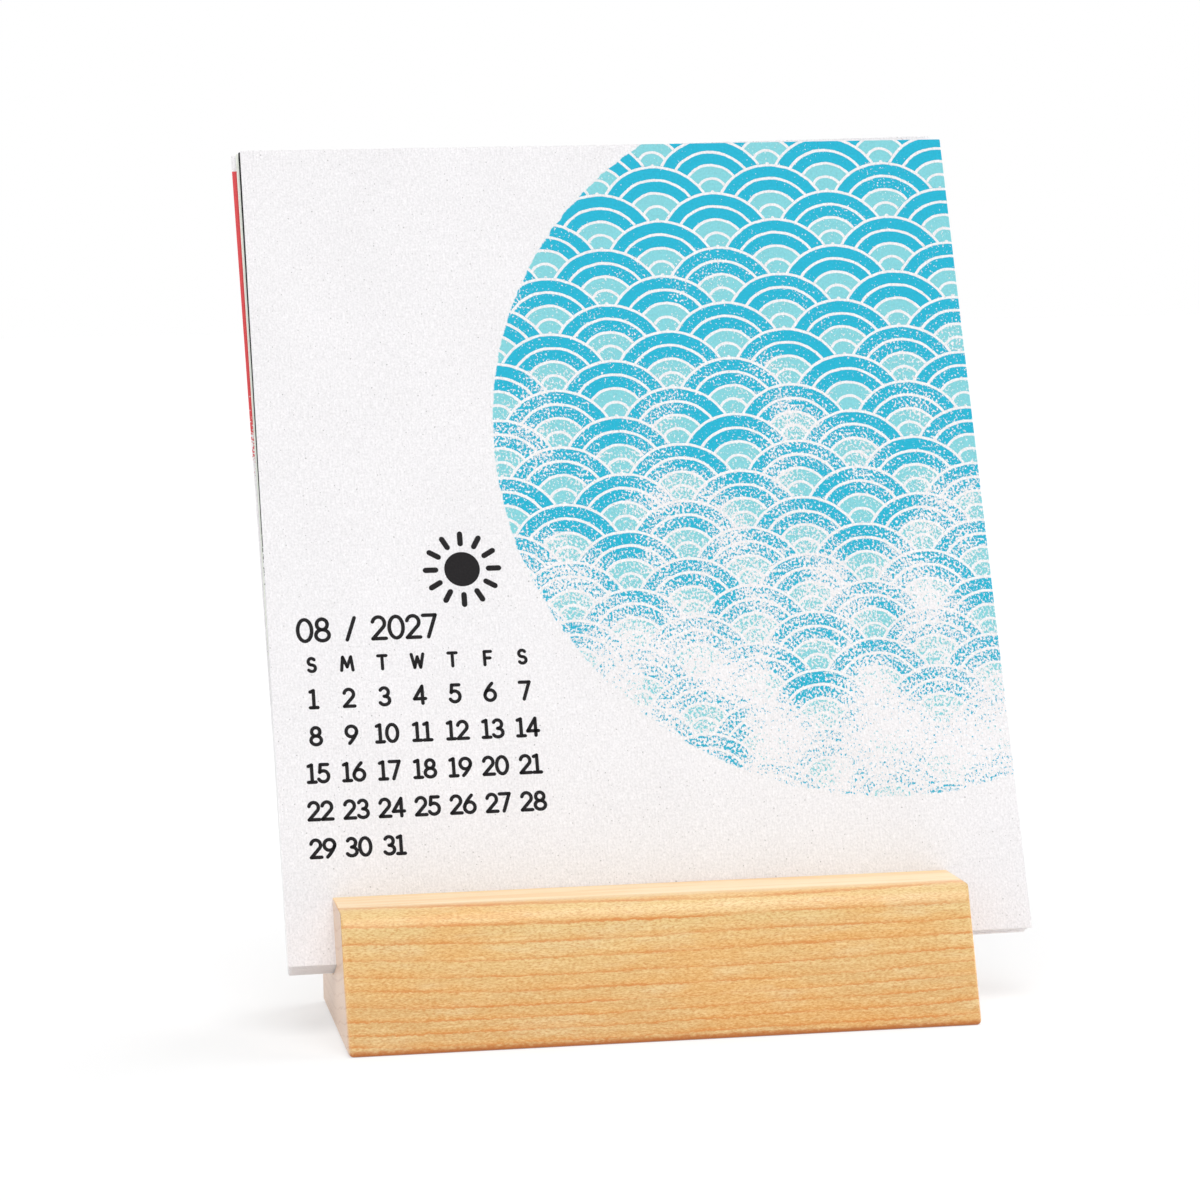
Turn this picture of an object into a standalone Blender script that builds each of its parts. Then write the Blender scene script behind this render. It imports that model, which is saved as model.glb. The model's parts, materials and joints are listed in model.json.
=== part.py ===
"""Desk calendar: a wooden block with a slanted slot that holds twelve loose month cards.

Metres, +Z up. The origin is the centre of the block's underside. X runs along the block,
and the printed sides of the cards face -Y.
"""

import math

import bmesh
import bpy

# Wooden block: its front face slopes back to a flat lip in front of the slot.
STAND_LENGTH = 0.105
STAND_DEPTH = 0.0465
STAND_HEIGHT = 0.0222
FRONT_SETBACK = 0.0082
LIP_DEPTH = 0.0148
EDGE_ROUND = 0.0009
EDGE_SEGMENTS = 3

# Cards, all cut alike and loose in the slot with a little air between them.
CARD_WIDTH = 0.127
CARD_HEIGHT = 0.146
CARD_THICKNESS = 0.00035
GAP = 0.0003

# Slot: as wide as the stack, right through the block, and cut along the lean of the cards.
LEAN = math.radians(22.0)
SLOT_DEPTH = 0.0115
CUTTER_MARGIN = 0.01

# Stack from front to back: month, shift to the right in metres, and skew in the card's own
# plane in degrees, because loose cards never stand quite square.
STACK = (
    ("august", 0.0030, 0.30),
    ("september", 0.0031, 0.45),
    ("october", 0.0032, 0.66),
    ("november", 0.0034, 1.05),
    ("december", 0.0035, 0.70),
    ("january", 0.0037, 0.85),
    ("february", 0.0033, 0.55),
    ("march", 0.0036, 0.75),
    ("april", 0.0039, 0.90),
    ("may", 0.0034, 0.60),
    ("june", 0.0037, 0.80),
    ("july", 0.0036, 0.65),
)

# Colours, linear
MAPLE = (0.78, 0.52, 0.24, 1.0)
PAPER = (0.90, 0.89, 0.90, 1.0)
MAPLE_ROUGHNESS = 0.5
PAPER_ROUGHNESS = 0.9

CARD_PITCH = CARD_THICKNESS + GAP
SLOT_WIDTH = GAP + len(STACK) * CARD_PITCH
LIP_BACK_Y = -STAND_DEPTH / 2 + FRONT_SETBACK + LIP_DEPTH


def clear_scene():
    for item in list(bpy.data.objects):
        bpy.data.objects.remove(item, do_unlink=True)


def make_collection(name):
    collection = bpy.data.collections.new(name)
    bpy.context.scene.collection.children.link(collection)
    return collection


def make_material(name, colour, roughness):
    material = bpy.data.materials.new(name)
    material.use_nodes = True
    shader = material.node_tree.nodes["Principled BSDF"]
    shader.inputs["Base Color"].default_value = colour
    shader.inputs["Roughness"].default_value = roughness
    shader.inputs["Metallic"].default_value = 0.0
    return material


def make_box(name, size, centre, collection):
    """A box of the given size whose middle is at centre, in the object's own axes."""
    shape = bmesh.new()
    bmesh.ops.create_cube(shape, size=1.0)
    bmesh.ops.scale(shape, vec=size, verts=shape.verts)
    bmesh.ops.translate(shape, vec=centre, verts=shape.verts)
    mesh = bpy.data.meshes.new(name)
    shape.to_mesh(mesh)
    shape.free()
    item = bpy.data.objects.new(name, mesh)
    collection.objects.link(item)
    return item


def make_slot_frame(collection):
    """An empty at the foot of the slot's front wall: its Z runs up the lean, its Y back through the stack."""
    frame = bpy.data.objects.new("slot_frame", None)
    frame.location = (
        0.0,
        LIP_BACK_Y - SLOT_DEPTH * math.sin(LEAN),
        STAND_HEIGHT - SLOT_DEPTH * math.cos(LEAN),
    )
    frame.rotation_euler = (-LEAN, 0.0, 0.0)
    collection.objects.link(frame)
    return frame


def make_slot_cutter(frame, collection):
    length = STAND_LENGTH + 2 * CUTTER_MARGIN
    height = SLOT_DEPTH + CUTTER_MARGIN
    centre = (0.0, SLOT_WIDTH / 2, height / 2)
    cutter = make_box("slot_cutter", (length, SLOT_WIDTH, height), centre, collection)
    cutter.parent = frame
    cutter.hide_render = True
    cutter.display_type = "WIRE"
    return cutter


def make_stand(cutter, material, collection):
    size = (STAND_LENGTH, STAND_DEPTH, STAND_HEIGHT)
    stand = make_box("stand", size, (0.0, 0.0, STAND_HEIGHT / 2), collection)
    for vertex in stand.data.vertices:
        if vertex.co.z > STAND_HEIGHT / 2 and vertex.co.y < 0.0:
            vertex.co.y += FRONT_SETBACK
    stand.data.materials.append(material)
    bevel = stand.modifiers.new("eased_edges", "BEVEL")
    bevel.width = EDGE_ROUND
    bevel.segments = EDGE_SEGMENTS
    bevel.limit_method = "NONE"
    slot = stand.modifiers.new("slot", "BOOLEAN")
    slot.operation = "DIFFERENCE"
    slot.solver = "EXACT"
    slot.object = cutter
    return stand


def make_card(place, month, shift, skew_deg, frame, material, collection):
    """One card, its origin at the middle of its bottom edge, resting on the slot floor at its left end."""
    skew = math.radians(skew_deg)
    size = (CARD_WIDTH, CARD_THICKNESS, CARD_HEIGHT)
    card = make_box(month + "_card", size, (0.0, 0.0, CARD_HEIGHT / 2), collection)
    card.data.materials.append(material)
    card.parent = frame
    card.location = (
        shift,
        GAP + CARD_THICKNESS / 2 + place * CARD_PITCH,
        GAP + (STAND_LENGTH / 2 + shift) * math.tan(skew),
    )
    card.rotation_euler = (0.0, -skew, 0.0)
    return card


def main():
    clear_scene()
    parts = make_collection("desk_calendar")
    cutters = make_collection("cutters")
    maple = make_material("maple", MAPLE, MAPLE_ROUGHNESS)
    paper = make_material("card_paper", PAPER, PAPER_ROUGHNESS)
    frame = make_slot_frame(parts)
    cutter = make_slot_cutter(frame, cutters)
    make_stand(cutter, maple, parts)
    for place, (month, shift, skew_deg) in enumerate(STACK):
        make_card(place, month, shift, skew_deg, frame, paper, parts)


main()
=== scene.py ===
"""Looks of the desk calendar: a maple block and twelve printed month cards on a pale studio floor.

Metres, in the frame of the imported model. Every card is dressed in its own axes: u to the right
from its left edge, v up from its bottom edge and w out of its printed face.
"""

import calendar
import json
import math
from collections import namedtuple

import bmesh
import bpy
from mathutils import Matrix, Vector


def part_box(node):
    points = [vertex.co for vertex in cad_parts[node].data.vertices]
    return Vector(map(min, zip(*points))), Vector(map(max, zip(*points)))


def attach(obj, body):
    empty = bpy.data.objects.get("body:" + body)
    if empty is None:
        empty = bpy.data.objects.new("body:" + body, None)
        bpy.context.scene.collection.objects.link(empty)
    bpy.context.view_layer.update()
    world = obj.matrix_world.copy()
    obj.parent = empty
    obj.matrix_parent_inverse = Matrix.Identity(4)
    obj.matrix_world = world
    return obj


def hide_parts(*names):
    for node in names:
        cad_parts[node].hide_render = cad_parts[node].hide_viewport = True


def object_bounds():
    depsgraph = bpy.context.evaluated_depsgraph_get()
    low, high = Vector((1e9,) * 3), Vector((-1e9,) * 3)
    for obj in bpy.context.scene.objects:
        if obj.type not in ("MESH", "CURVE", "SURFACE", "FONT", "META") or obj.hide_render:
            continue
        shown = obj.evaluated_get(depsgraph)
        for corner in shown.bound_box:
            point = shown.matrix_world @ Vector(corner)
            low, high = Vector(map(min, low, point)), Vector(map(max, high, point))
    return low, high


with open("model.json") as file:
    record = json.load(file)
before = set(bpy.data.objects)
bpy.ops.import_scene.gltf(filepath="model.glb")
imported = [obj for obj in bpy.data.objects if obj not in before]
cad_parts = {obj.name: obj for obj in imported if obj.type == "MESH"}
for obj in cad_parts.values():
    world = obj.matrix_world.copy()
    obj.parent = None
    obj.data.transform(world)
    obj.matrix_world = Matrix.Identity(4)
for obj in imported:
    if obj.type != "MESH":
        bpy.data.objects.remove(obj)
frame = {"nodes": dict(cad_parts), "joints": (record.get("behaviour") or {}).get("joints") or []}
cad_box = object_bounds()

MM = 0.001
IMAGE_SIZE = 1200

# Camera, solved from the corners of the block and of the front card
FOCAL_PIXELS = 3600.0
SENSOR_MM = 36.0
YAW = math.radians(9.33)
PITCH = math.radians(5.42)
ROLL = math.radians(-0.96)
CAMERA_DISTANCE = 0.5928
CAMERA_TARGET = Vector((-0.0079, -0.0077, 0.0711))
NEAR_CLIP = 0.01

# Block: slope, lip and slot as in the solids, a rounder front arris, and each edge's share of its round
FRONT_SETBACK = 8.2 * MM
LIP_DEPTH = 14.8 * MM
SLOT_DEPTH = 11.5 * MM
SLOT_WIDTH = 8.1 * MM
ARRIS_ROUND = 3.0 * MM
BEVEL_SEGMENTS = 6
WEIGHT_ARRIS = 1.0
WEIGHT_OUTER = 0.3
WEIGHT_SLOT = 0.06
SHARP_ANGLE = math.radians(40.0)

# Month sheets of one year; the body of a card has the name of its month
YEAR = 2027
MONTHS = (
    "january", "february", "march", "april", "may", "june",
    "july", "august", "september", "october", "november", "december",
)
WEEKDAYS = "SMTWTFS"

# Card stock
CORNER_ROUND = 0.2 * MM
CORNER_STEPS = 4
CUT_EDGE_ROUND = 0.06 * MM
CUT_EDGE_SEGMENTS = 2
ROUND_PROFILE = 0.5

# Calendar lettering
COLUMN_FIRST = 7.0 * MM
COLUMN_PITCH = 6.0 * MM
ROW_FIRST = 45.5 * MM
ROW_PITCH = 6.45 * MM
DATE_HEIGHT = 3.6 * MM
DATE_STROKE = 0.64 * MM
INITIAL_V = 51.5 * MM
INITIAL_HEIGHT = 2.9 * MM
INITIAL_STROKE = 0.60 * MM
HEADER_U = 5.0 * MM
HEADER_V = 57.6 * MM
HEADER_HEIGHT = 4.5 * MM
HEADER_STROKE = 0.68 * MM
LETTER_SPACE = 0.17
WORD_SPACE = 0.45

# Raised ink: a low ridge with sloped sides
INK_RISE = 0.04 * MM
INK_SINK = 0.02 * MM
INK_SLOPE = 0.05 * MM
LEAST_CROWN = 0.4
CAP_STEPS = 4
CAP_END_DEG = 86.0
ARC_STEP_DEG = 15.0
BENT_STEPS = 8

# Sun ornament over the header
SUN_CENTRE = Vector((33.8 * MM, 67.5 * MM))
SUN_RADIUS = 3.1 * MM
SUN_SIDES = 40
SUN_RAYS = 12
RAY_INNER = 4.6 * MM
RAY_OUTER = 6.3 * MM
RAY_STROKE = 1.0 * MM

# Wave print: fans and bands in mm, the bare gap and its soft edge as shares of a band, the wobble in mm
WAVE_RADIUS = 10.5
WAVE_BAND = 2.55
FULL_INK_BANDS = 2.0
BAND_GAP = 0.2
BAND_EDGE = 0.03
BAND_WOBBLE = 0.5

# Soft edge and wobble of the disc's rim and of the bars, in mm
DISC_EDGE = 0.12
DISC_WOBBLE = 1.2
BAR_EDGE = 0.1

# Ink levels: ink takes where its level is over the salt's noise. It thins downwards; the bars' fade is in mm
DISC_LEVEL_TOP = 0.75
DISC_LEVEL_FOOT = 0.40
DISC_LEVEL_PATCHES = 0.5
BAR_LEVEL_TOP = 0.8
BAR_LEVEL_FOOT = 0.2
BAR_FADE = 25.0
SALT_EDGE = 0.03

# Lowest w in mm that has ink: the waves stay on the face, a bar also covers the cut edge
WAVES_LOWEST = -0.05
BAR_LOWEST = -0.3

# Prints by month: full ink, pale ink, the disc of waves as centre u, centre v and radius in mm,
# and for some months a plain bar along the left edge as its width and its lower and upper end in mm
Print = namedtuple("Print", "ink pale disc bar", defaults=(None,))
PRINTS = {
    "january": Print((0.090, 0.210, 0.420), (0.420, 0.560, 0.720), (88.0, 96.0, 46.0)),
    "february": Print((0.420, 0.120, 0.330), (0.700, 0.480, 0.640), (98.0, 80.0, 54.0)),
    "march": Print((0.170, 0.400, 0.140), (0.540, 0.680, 0.460), (90.0, 98.0, 44.0)),
    "april": Print((0.560, 0.150, 0.270), (0.800, 0.520, 0.580), (100.0, 85.0, 54.0)),
    "may": Print((0.060, 0.340, 0.260), (0.420, 0.660, 0.580), (94.0, 86.0, 48.0)),
    "june": Print((0.760, 0.300, 0.030), (0.880, 0.620, 0.320), (102.0, 84.0, 56.0)),
    "july": Print((0.700, 0.090, 0.030), (0.860, 0.460, 0.340), (92.0, 82.0, 50.0)),
    "august": Print((0.012, 0.450, 0.640), (0.230, 0.640, 0.700), (107.0, 90.0, 66.0)),
    "september": Print((0.012, 0.012, 0.014), (0.250, 0.250, 0.260), (85.0, 97.0, 46.0), (2.5, 58.0, 146.0)),
    "october": Print((0.850, 0.880, 0.810), (0.600, 0.740, 0.520), (86.0, 92.0, 44.0), (2.5, 40.0, 146.0)),
    "november": Print((0.700, 0.078, 0.086), (0.800, 0.330, 0.320), (92.0, 88.0, 50.0), (2.5, 80.0, 143.0)),
    "december": Print((0.030, 0.160, 0.330), (0.330, 0.480, 0.640), (96.0, 84.0, 50.0)),
}

# Noises: the size of their blotches along each axis in mm, then detail and roughness
Noise = namedtuple("Noise", "size detail roughness", defaults=(2.0, 0.5))
WANDER_NOISE = Noise((75.0, 11.0, 11.0))
JITTER_NOISE = Noise((3.5, 1.6, 1.6), 3.0, 0.65)
RIPPLE_NOISE = Noise((0.9, 0.6, 0.6), 2.0, 0.6)
LINE_NOISE = Noise((20.0, 2.4, 2.4), 3.0, 0.65)
BROAD_NOISE = Noise((26.0, 8.0, 8.0))
PATCH_NOISE = Noise((12.0, 2.6, 2.6), 3.0, 0.6)
STREAK_NOISE = Noise((9.0, 0.75, 0.75), 3.0, 0.6)
FLECK_NOISE = Noise((0.6, 0.2, 0.2), 2.0, 0.6)
LIP_NOISE = Noise((45.0, 3.2, 3.2), 3.0, 0.6)
PORE_NOISE = Noise((0.3, 0.3, 0.3))
FIBRE_NOISE = Noise((0.26, 1.8, 0.26), 3.0, 0.65)
TOOTH_NOISE = Noise((0.36, 0.42, 0.36), 3.0, 0.65)
CLOUD_NOISE = Noise((14.0, 20.0, 14.0), 1.0)
SPECK_NOISE = Noise((0.42, 0.42, 0.42), 0.0)
WOBBLE_NOISE = Noise((3.0, 3.0, 3.0), 4.0, 0.7)
SALT_NOISE = Noise((0.42, 0.55, 0.42), 2.0, 0.7)
INK_PATCH_NOISE = Noise((11.0, 14.0, 11.0), 3.0)
MOTTLE_NOISE = Noise((0.3, 0.4, 0.3), 3.0, 0.6)
FLOOR_NOISE = Noise((240.0, 240.0, 240.0))

# Spans: the low and high end of a value, and what each end becomes
LINE_STRENGTH = (0.34, 0.66, 0.26, 1.0)
WOOD_ROUGHNESS = (0.3, 0.7, 0.28, 0.42)
PORE_SHADE = (0.3, 0.7, 0.88, 1.08)
FIBRE_SHADE = (0.25, 0.75, 0.92, 1.07)
TOOTH_SHADE = (0.25, 0.75, 0.86, 1.13)
CLOUD_SHADE = (0.3, 0.7, 0.985, 1.01)
PRINT_SHADE = (0.3, 0.7, 0.9, 1.08)
CARD_ROUGHNESS = (0.0, 1.0, 0.92, 0.62)
LETTER_WEAR = (0.35, 0.75, 0.0, 0.5)
LETTER_ROUGHNESS = (0.3, 0.7, 0.5, 0.75)

# Tints: a linear colour, the values between which it comes in, and its share where it is in full
Tint = namedtuple("Tint", "colour start full share")
UNDER_LIP_TINT = Tint((0.735, 0.530, 0.235), 14.0, 20.0, 0.6)
BROAD_TINT = Tint((0.770, 0.410, 0.125), 0.46, 0.66, 0.6)
PATCH_TINT = Tint((0.760, 0.560, 0.295), 0.5, 0.7, 0.6)
STREAK_TINT = Tint((0.880, 0.690, 0.355), 0.5, 0.68, 0.35)
DARK_FLECK_TINT = Tint((0.600, 0.245, 0.055), 0.54, 0.30, 0.66)
LIGHT_FLECK_TINT = Tint((0.910, 0.700, 0.362), 0.48, 0.72, 0.45)
# Dark rim at the foot: partly a darker sanded edge, partly painted contact shadow.
FOOT_RIM_AND_SHADE_TINT = Tint((0.500, 0.140, 0.014), 1.25, 0.35, 0.92)
LIP_GRAIN_TINT = Tint((0.850, 0.550, 0.260), 0.54, 0.42, 0.8)
SPECK_TINT = Tint((0.250, 0.240, 0.240), 0.78, 0.83, 0.5)
CUT_EDGE_TINT = Tint((0.950, 0.940, 0.950), 0.6, 0.3, 1.0)

# Wood: linear colours of the face from low to high, where the darker low end is painted shade, of the growth
# marks, of the lip's painted highlight from back to front, and of the ends
WOOD_PAINTED_SHADE_LOW = (0.645, 0.382, 0.148)
WOOD_HIGH = (0.812, 0.562, 0.237)
WOOD_PAINTED_SHADE_TOP_Z = 22.0
HALO_COLOUR = (0.740, 0.335, 0.075)
HALO_SHARE = 0.65
LINE_COLOUR = (0.640, 0.205, 0.036)
LINE_SHARE = 0.74
LIP_BACK_HIGHLIGHT = (0.862, 0.665, 0.402)
LIP_FRONT_HIGHLIGHT = (0.902, 0.782, 0.570)
LIP_HIGHLIGHT_SHARE = 0.75
END_COLOUR = (0.760, 0.550, 0.410)
END_LINE_COLOUR = (0.620, 0.400, 0.270)

# Wood: how far a surface faces up or to the ends, and where the lip's painted highlight stops towards the
# front
LIP_HIGHLIGHT_FACING = (0.93, 0.995)
END_FACING = (0.6, 0.95)
LIP_HIGHLIGHT_STOP = (0.76, 0.62)
LIP_RAGGED = 0.12

# Growth rings of the block, in millimetres: they bow up towards both ends and crowd together downwards
PITH_Y = 8.0
PITH_Z = 95.0
RING_START = 77.0
RING_RATE = 0.31
RING_CROWDING = 0.0046
RING_BOW = 0.0004
RING_WANDER = 3.0
RING_JITTER = 0.6
RING_RIPPLE = 0.7

# Growth marks, as shares of a ring: where the halo and the line come in and go out
HALO_IN = (0.3, 0.85)
HALO_OUT = (1.0, 0.9)
LINE_IN = (0.76, 0.91)
LINE_OUT = (1.0, 0.925)

# Paper, ink and floor: linear colours, and the shine of card and lettering
PAPER = (0.885, 0.870, 0.885)
INK_BLACK = (0.007, 0.006, 0.007)
INK_WORN = (0.030, 0.027, 0.028)
FLOOR_COLOUR = (0.93, 0.93, 0.93)
FLOOR_CLOUD = (0.94, 0.94, 0.94)
WHITE = (1.0, 1.0, 1.0)
CARD_SPECULAR = 0.25
LETTER_SPECULAR = 0.15

# Relief of the surfaces, with the share that fibre and tooth have in it and that ink takes off
WOOD_RELIEF = 0.02 * MM
CARD_RELIEF = 0.06 * MM
LETTER_RELIEF = 0.03 * MM
FIBRE_RELIEF = 0.6
TOOTH_RELIEF = 0.6
INK_PRESS = 0.5

# Light: an even fill and broad lamps, as shares of full white on a surface that faces them
FILL_LEVEL = 0.26

# Lamps: name, level, spread, and where the light comes from, as degrees round from the front and up
LAMPS = (
    ("key", 0.57, 50.0, 5.0, 70.0),
    ("side", 0.64, 50.0, 112.0, 26.0),
    ("left", 0.26, 60.0, 295.0, 30.0),
)

# Floor: its size, the share of its lit colour that the camera sees, and the white that is mixed in
FLOOR_HALF_SIZE = 6.0
FLOOR_CELLS = 8
FLOOR_SHOWN = 0.444
FLOOR_WHITE = 0.55


class Graph:
    """A material's shader graph, built node by node."""

    def __init__(self, name):
        self.material = bpy.data.materials.new(name)
        self.material.use_nodes = True
        self.tree = self.material.node_tree
        self.shader = self.tree.nodes["Principled BSDF"]

    def node(self, kind, **settings):
        made = self.tree.nodes.new(kind)
        for key, value in settings.items():
            setattr(made, key, value)
        return made

    def put(self, value, socket):
        """Links an output to a socket, or sets the socket to a constant."""
        if isinstance(value, bpy.types.NodeSocket):
            self.tree.links.new(value, socket)
        elif isinstance(value, tuple) and len(value) == 3 and socket.type == "RGBA":
            socket.default_value = (*value, 1.0)
        else:
            socket.default_value = value

    def set(self, **inputs):
        """Sets or links the main shader's sockets, with _ for a space in a name."""
        for key, value in inputs.items():
            self.put(value, self.shader.inputs[key.replace("_", " ")])

    def math(self, operation, *values):
        made = self.node("ShaderNodeMath", operation=operation)
        for value, socket in zip(values, made.inputs):
            self.put(value, socket)
        return made.outputs[0]

    def product(self, first, *others):
        for other in others:
            first = self.math("MULTIPLY", first, other)
        return first

    def add_share(self, value, other, share):
        """A value with a share of another value added."""
        return self.math("ADD", value, self.math("MULTIPLY", other, share))

    def length(self, first, second):
        """The length of a flat vector."""
        squares = [self.math("MULTIPLY", part, part) for part in (first, second)]
        return self.math("SQRT", self.math("ADD", *squares))

    def split(self, vector):
        made = self.node("ShaderNodeSeparateXYZ")
        self.put(vector, made.inputs[0])
        return made.outputs

    def stretch(self, vector, factors):
        made = self.node("ShaderNodeVectorMath", operation="MULTIPLY")
        self.put(vector, made.inputs[0])
        self.put(factors, made.inputs[1])
        return made.outputs[0]

    def millimetres(self):
        """The object's own coordinates in millimetres, whole and split."""
        coordinates = self.node("ShaderNodeTexCoord").outputs["Object"]
        scaled = self.stretch(coordinates, (1 / MM, 1 / MM, 1 / MM))
        return scaled, self.split(scaled)

    def facing(self):
        """The surface's normal in the object's own axes, split."""
        return self.split(self.node("ShaderNodeTexCoord").outputs["Normal"])

    def noise(self, vector, look):
        """Noise from 0 to 1."""
        made = self.node("ShaderNodeTexNoise")
        made.inputs["Scale"].default_value = 1.0
        made.inputs["Detail"].default_value = look.detail
        made.inputs["Roughness"].default_value = look.roughness
        self.put(self.stretch(vector, tuple(1.0 / s for s in look.size)), made.inputs["Vector"])
        return made.outputs[0]

    def swing(self, vector, look):
        """Noise from -0.5 to 0.5."""
        return self.math("SUBTRACT", self.noise(vector, look), 0.5)

    def step(self, value, start, full):
        """0 at the start and 1 at the full end, smooth between; the start may be the larger."""
        made = self.node("ShaderNodeMapRange", interpolation_type="SMOOTHSTEP")
        self.put(value, made.inputs["Value"])
        self.put(start, made.inputs["From Min"])
        self.put(full, made.inputs["From Max"])
        return made.outputs[0]

    def over(self, value, limit, softness):
        """1 over a limit and 0 under it, with a soft edge."""
        return self.step(value, limit - softness, limit + softness)

    def under(self, value, limit, softness):
        """1 under a limit and 0 over it, with a soft edge."""
        return self.step(value, limit + softness, limit - softness)

    def span(self, value, low, high, out_low, out_high):
        """A straight map from one range to another, clamped."""
        made = self.node("ShaderNodeMapRange")
        for number, key in zip((low, high, out_low, out_high), ("From Min", "From Max", "To Min", "To Max")):
            self.put(number, made.inputs[key])
        self.put(value, made.inputs["Value"])
        return made.outputs[0]

    def mix(self, share, first, second):
        made = self.node("ShaderNodeMix", data_type="RGBA")
        self.put(share, made.inputs[0])
        self.put(first, made.inputs[6])
        self.put(second, made.inputs[7])
        return made.outputs[2]

    def tint(self, colour, value, look):
        """A colour tinted where a value is at the tint's full end."""
        mask = self.step(value, look.start, look.full)
        return self.mix(self.math("MULTIPLY", mask, look.share), colour, look.colour)

    def shade(self, colour, value, factors):
        """A colour made darker or lighter by a factor, which is a span of a value."""
        made = self.node("ShaderNodeVectorMath", operation="SCALE")
        self.put(colour, made.inputs[0])
        self.put(self.span(value, *factors), made.inputs["Scale"])
        return made.outputs[0]

    def bump(self, height, distance):
        made = self.node("ShaderNodeBump")
        made.inputs["Distance"].default_value = distance
        self.put(height, made.inputs["Height"])
        self.put(made.outputs[0], self.shader.inputs["Normal"])


def growth_marks(g, point, x, y, z, ripple):
    """Fine lines round a pith above the block, and the warm halo before each line, both from 0 to 1."""
    radius = g.length(g.math("SUBTRACT", y, PITH_Y), g.math("SUBTRACT", z, PITH_Z))
    radius = g.add_share(radius, g.math("MULTIPLY", x, x), RING_BOW)
    radius = g.add_share(radius, g.swing(point, WANDER_NOISE), RING_WANDER)
    radius = g.add_share(radius, g.swing(point, JITTER_NOISE), RING_JITTER)
    radius = g.add_share(radius, ripple, RING_RIPPLE)
    depth = g.math("SUBTRACT", radius, RING_START)
    rate = g.add_share(RING_RATE, depth, RING_CROWDING)
    place = g.math("FRACT", g.math("MULTIPLY", depth, rate))
    strength = g.span(g.noise(point, LINE_NOISE), *LINE_STRENGTH)
    line = g.product(g.step(place, *LINE_IN), g.step(place, *LINE_OUT), strength)
    halo = g.product(g.step(place, *HALO_IN), g.step(place, *HALO_OUT), strength)
    return line, halo


def maple_material(lip_front, lip_back):
    """Pale maple: growth lines, short flecks, pinker end grain, a painted highlight on the lip, painted
    shade darker towards the bottom, and a dark rim at the foot that is partly a darker sanded edge and
    partly painted contact shadow.

    The lip lies between two places along Y, in millimetres.
    """
    g = Graph("maple")
    point, (x, y, z) = g.millimetres()
    facing = g.facing()
    ripple = g.swing(point, RIPPLE_NOISE)
    fleck = g.noise(point, FLECK_NOISE)
    line, halo = growth_marks(g, point, x, y, z, ripple)

    # Painted shade: the face darkens towards the bottom, up to the given height.
    colour = g.mix(g.span(z, 0.0, WOOD_PAINTED_SHADE_TOP_Z, 0.0, 1.0), WOOD_PAINTED_SHADE_LOW, WOOD_HIGH)
    colour = g.tint(colour, z, UNDER_LIP_TINT)
    colour = g.tint(colour, g.noise(point, BROAD_NOISE), BROAD_TINT)
    colour = g.tint(colour, g.noise(point, PATCH_NOISE), PATCH_TINT)
    colour = g.mix(g.math("MULTIPLY", halo, HALO_SHARE), colour, HALO_COLOUR)
    colour = g.tint(colour, g.noise(point, STREAK_NOISE), STREAK_TINT)
    colour = g.tint(colour, fleck, DARK_FLECK_TINT)
    colour = g.tint(colour, fleck, LIGHT_FLECK_TINT)
    colour = g.mix(g.math("MULTIPLY", line, LINE_SHARE), colour, LINE_COLOUR)
    # Dark rim at the foot: partly a darker sanded edge, partly painted contact shadow.
    colour = g.tint(colour, g.math("ADD", z, ripple), FOOT_RIM_AND_SHADE_TINT)

    # Painted highlight: the lip's upward faces are paler, most of all towards the front arris.
    forward = g.span(y, lip_back, lip_front, 0.0, 1.0)
    ragged = g.add_share(forward, ripple, LIP_RAGGED)
    lip_highlight = g.product(g.step(facing[2], *LIP_HIGHLIGHT_FACING), g.step(ragged, *LIP_HIGHLIGHT_STOP), LIP_HIGHLIGHT_SHARE)
    lip_highlight_colour = g.mix(forward, LIP_BACK_HIGHLIGHT, LIP_FRONT_HIGHLIGHT)
    lip_highlight_colour = g.tint(lip_highlight_colour, g.noise(point, LIP_NOISE), LIP_GRAIN_TINT)
    colour = g.mix(lip_highlight, colour, lip_highlight_colour)

    end = g.step(g.math("ABSOLUTE", facing[0]), *END_FACING)
    end_colour = g.mix(line, END_COLOUR, END_LINE_COLOUR)
    end_colour = g.shade(end_colour, g.noise(point, PORE_NOISE), PORE_SHADE)
    colour = g.mix(end, colour, end_colour)
    g.set(Base_Color=colour, Roughness=g.span(fleck, *WOOD_ROUGHNESS))
    g.bump(fleck, WOOD_RELIEF)
    return g.material


def wave_field(g, u, v):
    """Distance in mm from the rim of the wave fan that shows at each point, measured inwards.

    Rows of fans lie half a radius apart, every other row is shifted by half a fan, and the
    lower fans cover the upper ones.
    """
    half_row = WAVE_RADIUS / 2
    row = g.math("FLOOR", g.math("DIVIDE", v, half_row))

    def fan_distance(index):
        rise = g.math("SUBTRACT", v, g.math("MULTIPLY", index, half_row))
        shift = g.math("MULTIPLY", g.math("FLOORED_MODULO", index, 2.0), 0.5)
        turn = g.math("ADD", g.math("DIVIDE", u, 2 * WAVE_RADIUS), g.math("ADD", shift, 0.5))
        across = g.math("MULTIPLY", g.math("SUBTRACT", g.math("FRACT", turn), 0.5), 2 * WAVE_RADIUS)
        return g.length(across, rise)

    front = fan_distance(g.math("SUBTRACT", row, 1.0))
    back = fan_distance(row)
    covered = g.math("LESS_THAN", front, WAVE_RADIUS)
    shown = g.math("ADD", back, g.math("MULTIPLY", covered, g.math("SUBTRACT", front, back)))
    return g.math("SUBTRACT", WAVE_RADIUS, shown)


def ink_takes(g, level, salt):
    """1 where the ink took on the tooth of the card, and 0 where it left bare salt."""
    return g.over(g.math("SUBTRACT", level, salt), 0.0, SALT_EDGE)


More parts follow.
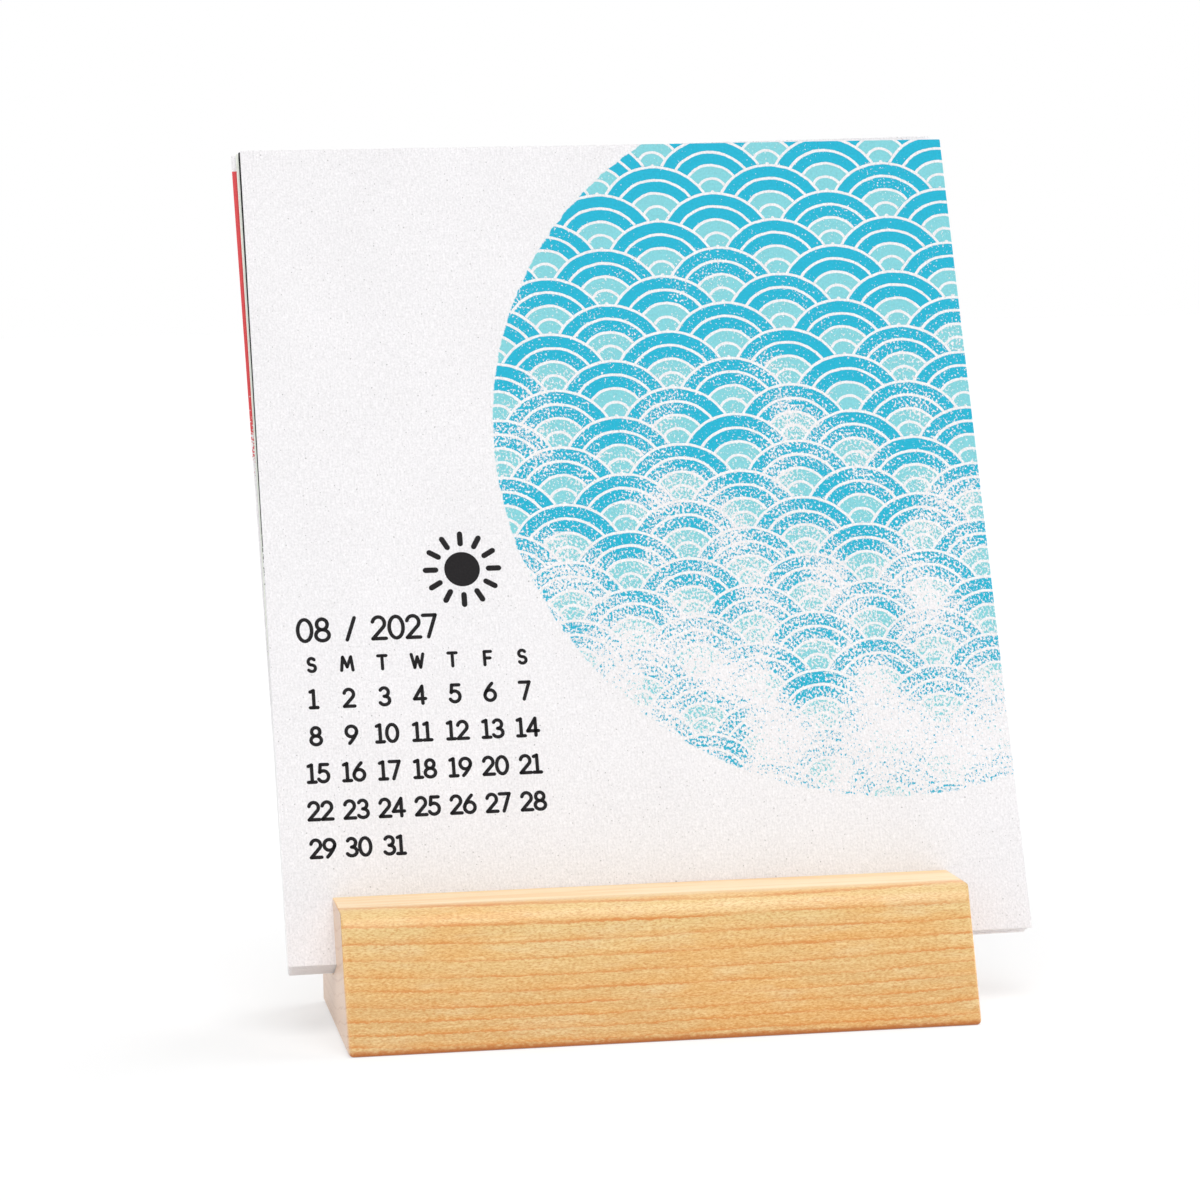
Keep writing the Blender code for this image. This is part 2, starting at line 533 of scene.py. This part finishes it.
def wave_print(g, point, u, v, w, disc, salt):
    """A disc of wave fans: where it has ink, and where that ink is the pale one."""
    centre_u, centre_v, disc_radius = disc
    wobble = g.swing(point, WOBBLE_NOISE)
    turns = g.math("DIVIDE", g.add_share(wave_field(g, u, v), wobble, BAND_WOBBLE), WAVE_BAND)
    band = g.over(g.math("FRACT", turns), BAND_GAP, BAND_EDGE)
    off_v = g.math("SUBTRACT", v, centre_v)
    reach = g.length(g.math("SUBTRACT", u, centre_u), off_v)
    inside = g.under(g.add_share(reach, wobble, DISC_WOBBLE), disc_radius, DISC_EDGE)
    level = g.span(off_v, disc_radius, -disc_radius, DISC_LEVEL_TOP, DISC_LEVEL_FOOT)
    level = g.add_share(level, g.swing(point, INK_PATCH_NOISE), DISC_LEVEL_PATCHES)
    on_face = g.math("GREATER_THAN", w, WAVES_LOWEST)
    cover = g.product(band, inside, ink_takes(g, level, salt), on_face)
    return cover, g.math("GREATER_THAN", turns, FULL_INK_BANDS)


def bar_print(g, u, v, w, bar, salt):
    """A plain bar along the left edge: where it has ink."""
    width, low, high = bar
    level = g.span(v, low, low + BAR_FADE, BAR_LEVEL_FOOT, BAR_LEVEL_TOP)
    beside_edge = g.under(u, width, BAR_EDGE)
    on_front = g.math("GREATER_THAN", w, BAR_LOWEST)
    return g.product(beside_edge, g.math("LESS_THAN", v, high), ink_takes(g, level, salt), on_front)


def card_material(name, look):
    """Toothy card with a block print, whose ink is salty where it was rolled thin."""
    g = Graph(name)
    point, (u, v, w) = g.millimetres()
    facing = g.facing()
    fibre = g.noise(point, FIBRE_NOISE)
    tooth = g.noise(point, TOOTH_NOISE)
    salt = g.noise(point, SALT_NOISE)

    cover, pale = wave_print(g, point, u, v, w, look.disc, salt)
    if look.bar:
        bar = bar_print(g, u, v, w, look.bar, salt)
        cover = g.math("MAXIMUM", cover, bar)
        pale = g.math("MULTIPLY", pale, g.math("SUBTRACT", 1.0, bar))

    paper = g.shade(PAPER, fibre, FIBRE_SHADE)
    paper = g.shade(paper, tooth, TOOTH_SHADE)
    paper = g.shade(paper, g.noise(point, CLOUD_NOISE), CLOUD_SHADE)
    paper = g.tint(paper, g.noise(point, SPECK_NOISE), SPECK_TINT)
    paper = g.tint(paper, g.math("ABSOLUTE", facing[2]), CUT_EDGE_TINT)
    inked = g.shade(g.mix(pale, look.ink, look.pale), tooth, PRINT_SHADE)
    g.set(
        Base_Color=g.mix(cover, paper, inked),
        Roughness=g.span(cover, *CARD_ROUGHNESS),
        Specular_IOR_Level=CARD_SPECULAR,
    )
    relief = g.add_share(g.math("MULTIPLY", fibre, FIBRE_RELIEF), tooth, TOOTH_RELIEF)
    g.bump(g.add_share(relief, cover, -INK_PRESS), CARD_RELIEF)
    return g.material


def ink_material():
    """Black letterpress ink, a little uneven."""
    g = Graph("black_ink")
    point, _ = g.millimetres()
    mottle = g.noise(point, MOTTLE_NOISE)
    g.set(
        Base_Color=g.mix(g.span(mottle, *LETTER_WEAR), INK_BLACK, INK_WORN),
        Roughness=g.span(mottle, *LETTER_ROUGHNESS),
        Specular_IOR_Level=LETTER_SPECULAR,
    )
    g.bump(mottle, LETTER_RELIEF)
    return g.material


def floor_material():
    """Pale floor that keeps the shadow. White is mixed in only for camera and mirror rays."""
    g = Graph("floor")
    point, _ = g.millimetres()
    path = g.node("ShaderNodeLightPath").outputs
    mirrored = g.math("MAXIMUM", path["Is Glossy Ray"], path["Is Transmission Ray"])
    seen = g.math("MAXIMUM", path["Is Camera Ray"], mirrored)
    colour = g.mix(g.noise(point, FLOOR_NOISE), FLOOR_COLOUR, FLOOR_CLOUD)
    g.set(
        Base_Color=g.shade(colour, seen, (0.0, 1.0, 1.0, FLOOR_SHOWN)),
        Roughness=1.0,
        Specular_IOR_Level=0.0,
        Emission_Color=WHITE,
        Emission_Strength=g.math("MULTIPLY", seen, FLOOR_WHITE),
    )
    return g.material


def mesh_object(name, shape, material, matrix=None):
    """Turns a bmesh into an object of the scene."""
    mesh = bpy.data.meshes.new(name)
    shape.to_mesh(mesh)
    shape.free()
    mesh.materials.append(material)
    item = bpy.data.objects.new(name, mesh)
    bpy.context.scene.collection.objects.link(item)
    if matrix is not None:
        item.matrix_world = matrix
    return item


def prism(outline, direction):
    """A closed solid: a flat outline of points swept along a direction."""
    shape = bmesh.new()
    face = shape.faces.new([shape.verts.new(p) for p in outline])
    swept = bmesh.ops.extrude_face_region(shape, geom=[face])
    moved = [item for item in swept["geom"] if isinstance(item, bmesh.types.BMVert)]
    bmesh.ops.translate(shape, vec=direction, verts=moved)
    bmesh.ops.recalc_face_normals(shape, faces=shape.faces)
    return shape


def to_micron(point):
    """A point's coordinates rounded to a micron, so that equal places compare as equal."""
    return tuple(round(c, 6) for c in point)


def make_block(low, high, lip_front, lip_back, lean_axis, material):
    """The block with its slot: the front arris is well rounded, the slot's mouth only just eased."""
    up = Vector((lean_axis[1], lean_axis[2]))
    back = Vector((up.y, -up.x))
    mouth_front = Vector((lip_back, high.z))
    foot_front = mouth_front - up * SLOT_DEPTH
    foot_back = foot_front + back * SLOT_WIDTH
    mouth_back = foot_back + up * ((high.z - foot_back.y) / up.y)
    profile = [
        (low.y, low.z),
        (high.y, low.z),
        (high.y, high.z),
        tuple(mouth_back),
        tuple(foot_back),
        tuple(foot_front),
        tuple(mouth_front),
        (lip_front, high.z),
    ]
    shape = prism([(low.x, y, z) for y, z in profile], (high.x - low.x, 0.0, 0.0))
    block = mesh_object("maple_block", shape, material)
    slot_points = {to_micron(p) for p in (mouth_back, foot_back, foot_front, mouth_front)}
    arris = to_micron((lip_front, high.z))
    weights = block.data.attributes.new("bevel_weight_edge", "FLOAT", "EDGE")
    for edge in block.data.edges:
        ends = [to_micron(block.data.vertices[i].co.yz) for i in edge.vertices]
        if ends[0] in slot_points or ends[1] in slot_points:
            weights.data[edge.index].value = WEIGHT_SLOT
        elif ends[0] == ends[1] == arris:
            weights.data[edge.index].value = WEIGHT_ARRIS
        else:
            weights.data[edge.index].value = WEIGHT_OUTER
    bevel = block.modifiers.new("eased_edges", "BEVEL")
    bevel.limit_method = "WEIGHT"
    bevel.width = ARRIS_ROUND
    bevel.segments = BEVEL_SEGMENTS
    block.data.shade_smooth()
    block.data.set_sharp_from_angle(angle=SHARP_ANGLE)
    return block


def card_axes(node, up):
    """The card's own frame and size, read from the node: its corner is the printed face's lower left."""
    points = [vertex.co.copy() for vertex in node.data.vertices]
    normal = max(node.data.polygons, key=lambda face: -face.area * face.normal.y).normal.copy()
    depths = [p.dot(normal) for p in points]
    thickness = max(depths) - min(depths)
    printed = [p for p, depth in zip(points, depths) if depth > max(depths) - thickness / 2]
    lower_left = min(printed, key=lambda p: p.x + p.dot(up))
    lower_right = max(printed, key=lambda p: p.x - p.dot(up))
    upper_left = min(printed, key=lambda p: p.x - p.dot(up))
    right = (lower_right - lower_left).normalized()
    rise = normal.cross(right)
    matrix = Matrix((right, rise, normal)).transposed().to_4x4()
    matrix.translation = lower_left
    width = (lower_right - lower_left).dot(right)
    height = (upper_left - lower_left).dot(rise)
    return matrix, width, height, thickness


def make_sheet(name, material, matrix, width, height, thickness):
    """A cut card with barely rounded corners and softly eased cut edges."""
    outline = []
    for corner, (cu, cv) in enumerate(((0, 0), (1, 0), (1, 1), (0, 1))):
        centre = Vector((
            CORNER_ROUND + cu * (width - 2 * CORNER_ROUND),
            CORNER_ROUND + cv * (height - 2 * CORNER_ROUND),
            0.0,
        ))
        for step in range(CORNER_STEPS + 1):
            angle = math.radians(180 + 90 * corner + 90 * step / CORNER_STEPS)
            outline.append(centre + CORNER_ROUND * Vector((math.cos(angle), math.sin(angle), 0.0)))
    shape = prism(outline, (0.0, 0.0, -thickness))
    rims = [edge for edge in shape.edges if abs(edge.verts[0].co.z - edge.verts[1].co.z) < thickness / 2]
    bmesh.ops.bevel(
        shape,
        geom=rims,
        offset=CUT_EDGE_ROUND,
        segments=CUT_EDGE_SEGMENTS,
        profile=ROUND_PROFILE,
        affect="EDGES",
    )
    return mesh_object(name, shape, material, matrix)


def arc(cx, cy, rx, ry, start, end):
    """Points along an ellipse's arc, angles in degrees."""
    count = max(2, round(abs(end - start) / ARC_STEP_DEG) + 1)
    angles = [math.radians(start + (end - start) * i / (count - 1)) for i in range(count)]
    return [(cx + rx * math.cos(a), cy + ry * math.sin(a)) for a in angles]


def ring(cx, cy, rx, ry):
    """A closed ellipse, its last point left off."""
    return arc(cx, cy, rx, ry, 0.0, 360.0)[:-1]


def lines(*corners):
    """Straight strokes from corner to corner, each with round ends."""
    return [([a, b], False) for a, b in zip(corners, corners[1:])]


def bent(a, control, b):
    """A quadratic curve from a to b."""
    shares = [i / BENT_STEPS for i in range(BENT_STEPS + 1)]
    return [
        tuple((1 - t) ** 2 * p + 2 * t * (1 - t) * q + t * t * r for p, q, r in zip(a, control, b))
        for t in shares
    ]


SIX = [(ring(0.30, 0.31, 0.30, 0.31), True), (bent((0.43, 1.0), (0.10, 0.66), (0.015, 0.37)), False)]

# Centre lines of the strokes of each character on a body 1 high: (points, closed), then the width
GLYPHS = {
    "0": ([(ring(0.31, 0.5, 0.31, 0.5), True)], 0.62),
    "1": (lines((0.03, 0.93), (0.21, 1.0), (0.21, 0.0)) + lines((0.0, 0.0), (0.42, 0.0)), 0.42),
    "2": ([
        (arc(0.28, 0.71, 0.27, 0.29, 165, -35) + [(0.0, 0.0)], False),
        *lines((0.0, 0.0), (0.58, 0.0)),
    ], 0.58),
    "3": ([
        (arc(0.27, 0.75, 0.24, 0.25, 150, -90), False),
        (arc(0.27, 0.25, 0.29, 0.25, 90, -150), False),
    ], 0.56),
    "4": (lines((0.46, 1.0), (0.0, 0.27), (0.62, 0.27)) + lines((0.46, 1.0), (0.46, 0.0)), 0.62),
    "5": ([
        *lines((0.53, 1.0), (0.12, 1.0), (0.07, 0.56)),
        (arc(0.26, 0.32, 0.30, 0.32, 130, -150), False),
    ], 0.56),
    "6": (SIX, 0.60),
    "7": (lines((0.0, 1.0), (0.55, 1.0), (0.20, 0.0)), 0.55),
    "8": ([(ring(0.30, 0.755, 0.235, 0.245), True), (ring(0.30, 0.255, 0.295, 0.255), True)], 0.60),
    "9": ([([(0.60 - x, 1.0 - y) for x, y in points], closed) for points, closed in SIX], 0.60),
    "/": (lines((0.0, 0.0), (0.36, 1.0)), 0.36),
    "S": ([
        (arc(0.27, 0.75, 0.24, 0.25, 35, 270), False),
        (arc(0.27, 0.25, 0.27, 0.25, 90, -145), False),
    ], 0.54),
    "M": (lines((0.0, 0.0), (0.12, 1.0), (0.42, 0.25), (0.72, 1.0), (0.84, 0.0)), 0.84),
    "T": (lines((0.0, 1.0), (0.60, 1.0)) + lines((0.30, 1.0), (0.30, 0.0)), 0.60),
    "W": (lines((0.0, 1.0), (0.21, 0.0), (0.43, 0.8), (0.65, 0.0), (0.86, 1.0)), 0.86),
    "F": (lines((0.05, 0.0), (0.05, 1.0), (0.52, 1.0)) + lines((0.05, 0.5), (0.45, 0.5)), 0.52),
}


def round_cap(section, sign, half_width, turns):
    """Narrowing sections beyond one end of a stroke, which round it off."""
    point, side, _ = section
    ahead = Vector((side.y, -side.x))
    return [
        (point + sign * half_width * math.sin(a) * ahead, side, half_width * math.cos(a))
        for a in turns
    ]


def add_ridge(shape, points, closed, half_width):
    """A low closed ridge of ink along a path, with sloped sides and, on an open path, round ends."""
    path = [Vector(p) for p in points]
    count = len(path)
    sections = []
    for i, point in enumerate(path):
        before = path[i - 1] if closed or i > 0 else point
        after = path[(i + 1) % count] if closed or i < count - 1 else point
        along = (after - before).normalized()
        sections.append((point, Vector((-along.y, along.x)), half_width))
    if not closed:
        degrees = [90 * k / CAP_STEPS for k in range(1, CAP_STEPS)] + [CAP_END_DEG]
        turns = [math.radians(d) for d in degrees]
        head = round_cap(sections[0], -1.0, half_width, turns[::-1])
        tail = round_cap(sections[-1], 1.0, half_width, turns)
        sections = head + sections + tail
    rings = []
    for point, side, half in sections:
        crown = max(half - INK_SLOPE, LEAST_CROWN * half)
        offsets = ((-half, -INK_SINK), (half, -INK_SINK), (crown, INK_RISE), (-crown, INK_RISE))
        rings.append([shape.verts.new((*(point + side * across), rise)) for across, rise in offsets])
    for ring_a, ring_b in zip(rings, rings[1:] + rings[:1] if closed else rings[1:]):
        for k in range(len(ring_a)):
            shape.faces.new((ring_a[k], ring_a[k - 1], ring_b[k - 1], ring_b[k]))
    if not closed:
        shape.faces.new(rings[0])
        shape.faces.new(rings[-1][::-1])


def text_width(text, height):
    gaps = LETTER_SPACE * height * (len(text) - 1)
    return gaps + sum(WORD_SPACE if c == " " else GLYPHS[c][1] for c in text) * height


def add_text(shape, text, left, middle_v, height, stroke):
    """Writes characters from the left, their middle at the given height on the card."""
    body = height - stroke
    base = middle_v - body / 2
    for character in text:
        if character == " ":
            left += (WORD_SPACE + LETTER_SPACE) * body
            continue
        strokes, width = GLYPHS[character]
        for points, closed in strokes:
            add_ridge(shape, [(left + x * body, base + y * body) for x, y in points], closed, stroke / 2)
        left += (width + LETTER_SPACE) * body


def add_in_column(shape, text, column, middle_v, height, stroke):
    """Writes characters in the middle of a weekday's column."""
    middle_u = COLUMN_FIRST + column * COLUMN_PITCH
    left = middle_u - text_width(text, height - stroke) / 2
    add_text(shape, text, left, middle_v, height, stroke)


def add_sun(shape):
    """A small ornament: a solid disc with short rays."""
    levels = []
    for radius, rise in ((SUN_RADIUS, -INK_SINK), (SUN_RADIUS - INK_SLOPE, INK_RISE)):
        turns = [2 * math.pi * k / SUN_SIDES for k in range(SUN_SIDES)]
        rim = [SUN_CENTRE + radius * Vector((math.cos(a), math.sin(a))) for a in turns]
        levels.append([shape.verts.new((*p, rise)) for p in rim])
    lower, upper = levels
    for k in range(SUN_SIDES):
        shape.faces.new((lower[k - 1], lower[k], upper[k], upper[k - 1]))
    shape.faces.new(lower[::-1])
    shape.faces.new(upper)
    for k in range(SUN_RAYS):
        angle = 2 * math.pi * k / SUN_RAYS
        outward = Vector((math.cos(angle), math.sin(angle)))
        ends = [SUN_CENTRE + outward * RAY_INNER, SUN_CENTRE + outward * RAY_OUTER]
        add_ridge(shape, ends, False, RAY_STROKE / 2)


def make_lettering(name, month, material, matrix):
    """Month and year as numbers, weekday initials and the dates of one month, with the sun over them."""
    shape = bmesh.new()
    add_text(shape, f"{month:02d} / {YEAR}", HEADER_U, HEADER_V, HEADER_HEIGHT, HEADER_STROKE)
    for column, initial in enumerate(WEEKDAYS):
        add_in_column(shape, initial, column, INITIAL_V, INITIAL_HEIGHT, INITIAL_STROKE)
    monday_based, days = calendar.monthrange(YEAR, month)
    first_column = (monday_based + 1) % len(WEEKDAYS)
    for day in range(1, days + 1):
        row, column = divmod(first_column + day - 1, len(WEEKDAYS))
        add_in_column(shape, str(day), column, ROW_FIRST - row * ROW_PITCH, DATE_HEIGHT, DATE_STROKE)
    add_sun(shape)
    bmesh.ops.recalc_face_normals(shape, faces=shape.faces)
    return mesh_object(name, shape, material, matrix)


def dress_cards():
    """One printed sheet and its lettering for every card body."""
    black = ink_material()
    for joint in frame["joints"]:
        body = joint["child"]
        node = body + "_card"
        month = MONTHS.index(body) + 1
        matrix, width, height, thickness = card_axes(frame["nodes"][node], Vector(joint["axis"]))
        stock = card_material(body + "_print", PRINTS[body])
        sheet = make_sheet(body + "_sheet", stock, matrix, width, height, thickness)
        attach(sheet, body)
        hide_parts(node)
        lettering = make_lettering(body + "_lettering", month, black, matrix)
        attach(lettering, body)


def dress_stand():
    """The maple block, in the place and to the size of the stand's node."""
    low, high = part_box("stand")
    lip_front = low.y + FRONT_SETBACK
    lip_back = lip_front + LIP_DEPTH
    maple = maple_material(lip_front / MM, lip_back / MM)
    block = make_block(low, high, lip_front, lip_back, frame["joints"][0]["axis"], maple)
    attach(block, "stand")
    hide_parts("stand")


def make_floor():
    shape = bmesh.new()
    bmesh.ops.create_grid(shape, x_segments=FLOOR_CELLS, y_segments=FLOOR_CELLS, size=FLOOR_HALF_SIZE)
    floor = mesh_object("floor", shape, floor_material())
    floor.location.z = cad_box[0].z


def make_world():
    """White to the camera and to reflections, a gentle even fill for everything else."""
    world = bpy.data.worlds.new("studio")
    bpy.context.scene.world = world
    world.use_nodes = True
    tree = world.node_tree
    background = tree.nodes["Background"]
    background.inputs["Color"].default_value = (*WHITE, 1.0)
    path = tree.nodes.new("ShaderNodeLightPath")
    seen = path.outputs["Is Camera Ray"]
    for other in ("Is Glossy Ray", "Is Transmission Ray"):
        either = tree.nodes.new("ShaderNodeMath")
        either.operation = "MAXIMUM"
        tree.links.new(seen, either.inputs[0])
        tree.links.new(path.outputs[other], either.inputs[1])
        seen = either.outputs[0]
    level = tree.nodes.new("ShaderNodeMapRange")
    level.inputs["To Min"].default_value = FILL_LEVEL
    tree.links.new(seen, level.inputs["Value"])
    tree.links.new(level.outputs[0], background.inputs["Strength"])


def make_lamps():
    """A high key in front, a low lamp at the right that throws the shadow left, and a weak left lamp."""
    for name, level, spread, around, above in LAMPS:
        lamp = bpy.data.lights.new(name, "SUN")
        lamp.energy = level * math.pi
        lamp.angle = math.radians(spread)
        item = bpy.data.objects.new(name, lamp)
        item.rotation_euler = (math.radians(90.0 - above), 0.0, math.radians(around))
        bpy.context.scene.collection.objects.link(item)


def make_camera():
    """Looks from the front left and a little above, at the photograph's angle."""
    ahead = Vector((math.sin(YAW) * math.cos(PITCH), math.cos(YAW) * math.cos(PITCH), -math.sin(PITCH)))
    level = Vector((math.cos(YAW), -math.sin(YAW), 0.0))
    upright = level.cross(ahead)
    right = math.cos(ROLL) * level + math.sin(ROLL) * upright
    up = math.cos(ROLL) * upright - math.sin(ROLL) * level
    data = bpy.data.cameras.new("photo_camera")
    data.sensor_width = SENSOR_MM
    data.lens = FOCAL_PIXELS / IMAGE_SIZE * SENSOR_MM
    data.clip_start = NEAR_CLIP
    camera = bpy.data.objects.new("photo_camera", data)
    matrix = Matrix((right, up, -ahead)).transposed().to_4x4()
    matrix.translation = CAMERA_TARGET - ahead * CAMERA_DISTANCE
    camera.matrix_world = matrix
    bpy.context.scene.collection.objects.link(camera)
    bpy.context.scene.camera = camera


dress_stand()
dress_cards()
make_floor()
make_world()
make_lamps()
make_camera()
bpy.context.scene.view_settings.view_transform = "Standard"
